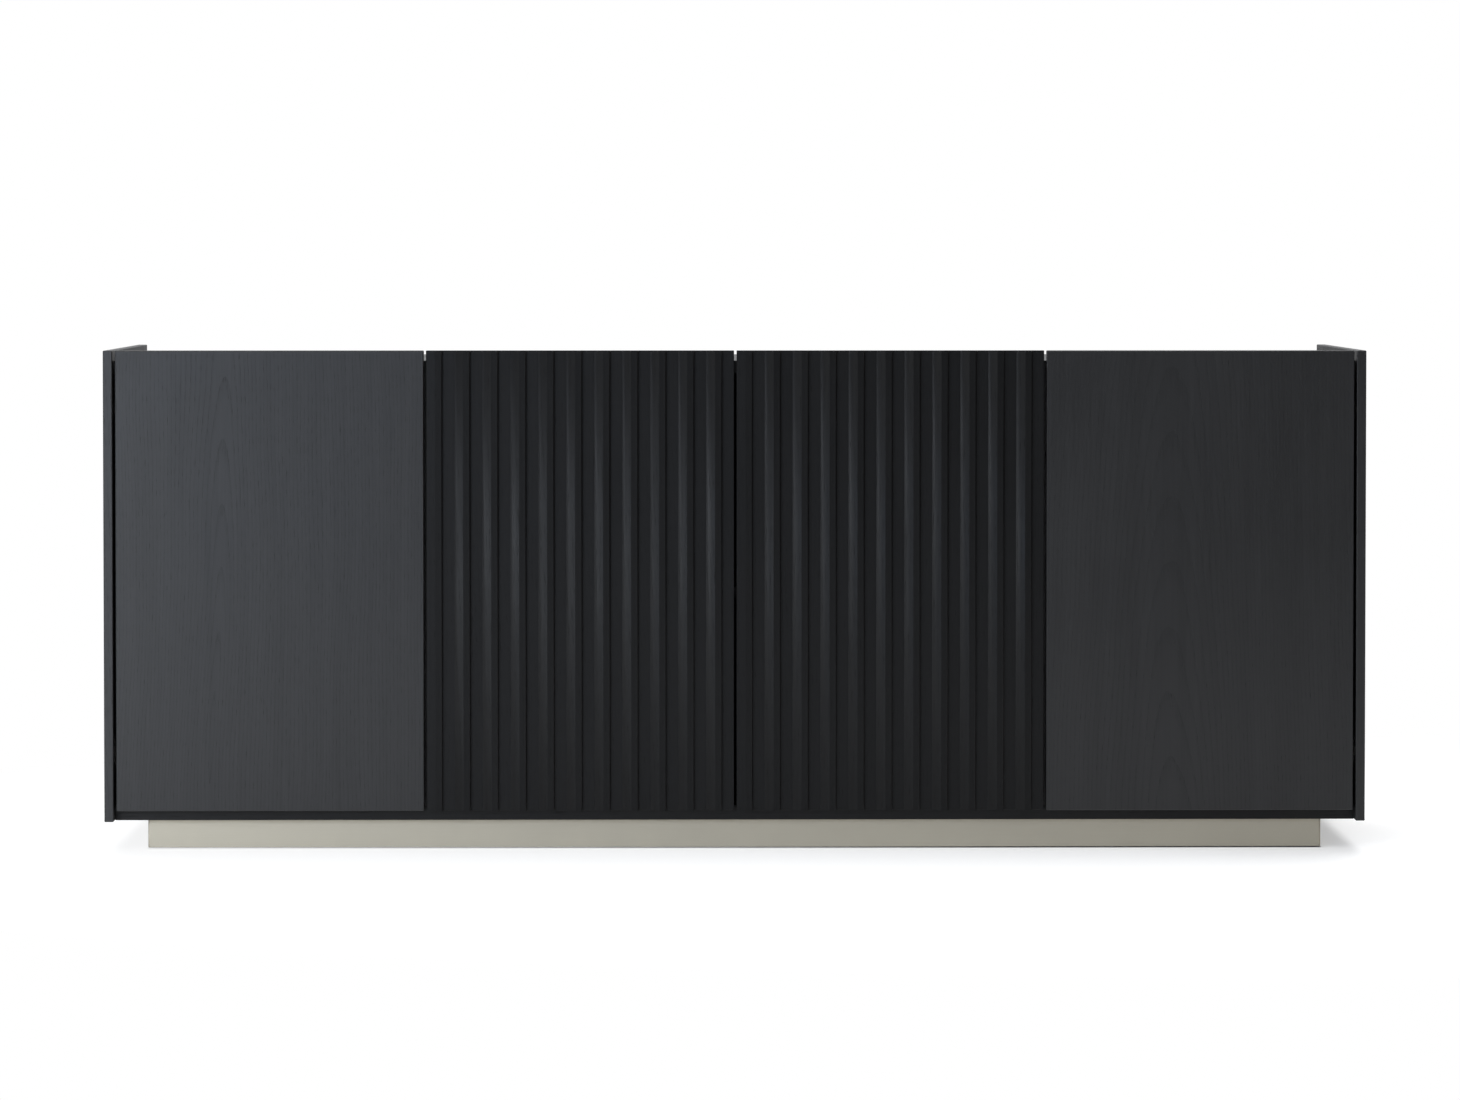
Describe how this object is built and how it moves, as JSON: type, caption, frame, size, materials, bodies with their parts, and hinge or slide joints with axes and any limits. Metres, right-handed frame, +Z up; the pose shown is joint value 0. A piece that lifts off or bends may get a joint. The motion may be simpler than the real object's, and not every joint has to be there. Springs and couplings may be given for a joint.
{
  "type": "sideboard buffet",
  "caption": "Low wide sideboard in dark stained oak with plain outer doors, slatted centre doors, a recessed top between raised side panels and a set-back metal plinth.",
  "frame": {"origin": "centre of the footprint on the floor", "axes": "+X along the front to the right as seen from the front, +Y from the doors towards the back, +Z up"},
  "size_m": [2.2, 0.5, 0.875],
  "materials": {
    "oak_stained": "charcoal stained oak veneer, open fine grain, satin lacquer",
    "oak_slatted": "near-black stained oak, open grain, satin lacquer",
    "oak_inner": "dark stained oak veneer, matt lacquer",
    "back_board": "black through-dyed fibreboard, matt",
    "plinth_metal": "satin brushed steel sheet",
    "nickel": "nickel-plated steel",
    "zinc": "zinc-plated steel",
    "beech": "plain beech, unfinished",
    "rubber": "black soft rubber",
    "black_plastic": "black moulded plastic"
  },
  "bodies": {
    "carcass": {"side_panel_left": "oak_stained", "side_panel_right": "oak_stained", "top_panel": "oak_stained", "bottom_panel": "oak_stained", "partition_left": "oak_inner", "partition_right": "oak_inner", "back_panel_left": "back_board", "back_panel_centre": "back_board", "back_panel_right": "back_board", "shelf_left": "oak_inner", "shelf_centre": "oak_inner", "shelf_right": "oak_inner", "shelf_pins": "nickel", "cam_bolts": "zinc", "cam_locks": "zinc", "dowels": "beech", "back_panel_screws": "zinc", "plinth_rail_front": "back_board", "plinth_rail_back": "back_board", "plinth_rail_left": "back_board", "plinth_rail_right": "back_board", "plinth_cross_rails": "back_board", "plinth_cover": "plinth_metal", "plinth_blocks": "beech", "plinth_screws": "zinc", "leveller_stems": "zinc", "leveller_pads": "black_plastic", "hinge_plates": "nickel", "hinge_plate_screws": "nickel", "hinge_arms_outer": "nickel", "hinge_arms_inner": "nickel", "hinge_arm_screws": "nickel"},
    "door_left": {"door_left": "oak_stained", "hinge_cups_left": "nickel", "hinge_pins_left": "zinc", "cup_screws_left": "nickel", "bumpers_left": "rubber"},
    "door_centre_left": {"door_centre_left": "oak_slatted", "slats_centre_left": "oak_slatted", "hinge_cups_centre_left": "nickel", "hinge_pins_centre_left": "zinc", "cup_screws_centre_left": "nickel", "bumpers_centre_left": "rubber"},
    "door_centre_right": {"door_centre_right": "oak_slatted", "slats_centre_right": "oak_slatted", "hinge_cups_centre_right": "nickel", "hinge_pins_centre_right": "zinc", "cup_screws_centre_right": "nickel", "bumpers_centre_right": "rubber"},
    "door_right": {"door_right": "oak_stained", "hinge_cups_right": "nickel", "hinge_pins_right": "zinc", "cup_screws_right": "nickel", "bumpers_right": "rubber"}
  },
  "joints": [
    {"name": "left_door_hinge", "type": "hinge", "parent": "carcass", "child": "door_left", "pos_m": [-1.0695, -0.2395, 0.4735], "axis": [0, 0, -1], "range_deg": [0, 95]},
    {"name": "centre_left_door_hinge", "type": "hinge", "parent": "carcass", "child": "door_centre_left", "pos_m": [-0.52887, -0.2395, 0.4735], "axis": [0, 0, -1], "range_deg": [0, 95]},
    {"name": "centre_right_door_hinge", "type": "hinge", "parent": "carcass", "child": "door_centre_right", "pos_m": [0.52887, -0.2395, 0.4735], "axis": [0, 0, 1], "range_deg": [0, 95]},
    {"name": "right_door_hinge", "type": "hinge", "parent": "carcass", "child": "door_right", "pos_m": [1.0695, -0.2395, 0.4735], "axis": [0, 0, 1], "range_deg": [0, 95]}
  ]
}
